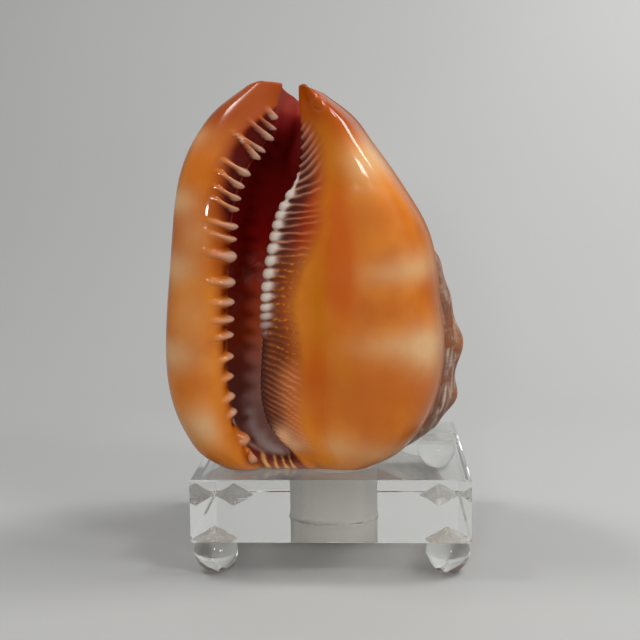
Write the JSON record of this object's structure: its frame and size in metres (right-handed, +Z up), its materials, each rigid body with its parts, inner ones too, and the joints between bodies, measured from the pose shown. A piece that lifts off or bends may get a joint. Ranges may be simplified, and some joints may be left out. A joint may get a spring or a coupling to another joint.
{
  "type": "helmet shell on display stand",
  "caption": "Large glossy helmet seashell with a long toothed mouth and knobbed back, standing on its spire in the hole of a clear square slab on ball feet.",
  "frame": {"origin": "centre of the bounding box at the level the feet rest on", "axes": "+Z up, from the spire in the stand to the canal at the top; the mouth faces -Y; +X is to the right as seen facing the mouth"},
  "size_m": [0.1104, 0.1004, 0.1766],
  "materials": {
    "shell": "high natural gloss; orange to red-brown with paler cream patches and teeth",
    "clear_slab": "clear, polished outside, frosted where drilled",
    "clear_ball": "clear, polished"
  },
  "bodies": {
    "root": {"shell": "shell", "base_slab": "clear_slab", "foot_front_left": "clear_ball", "foot_front_right": "clear_ball", "foot_back_left": "clear_ball", "foot_back_right": "clear_ball"}
  },
  "joints": []
}
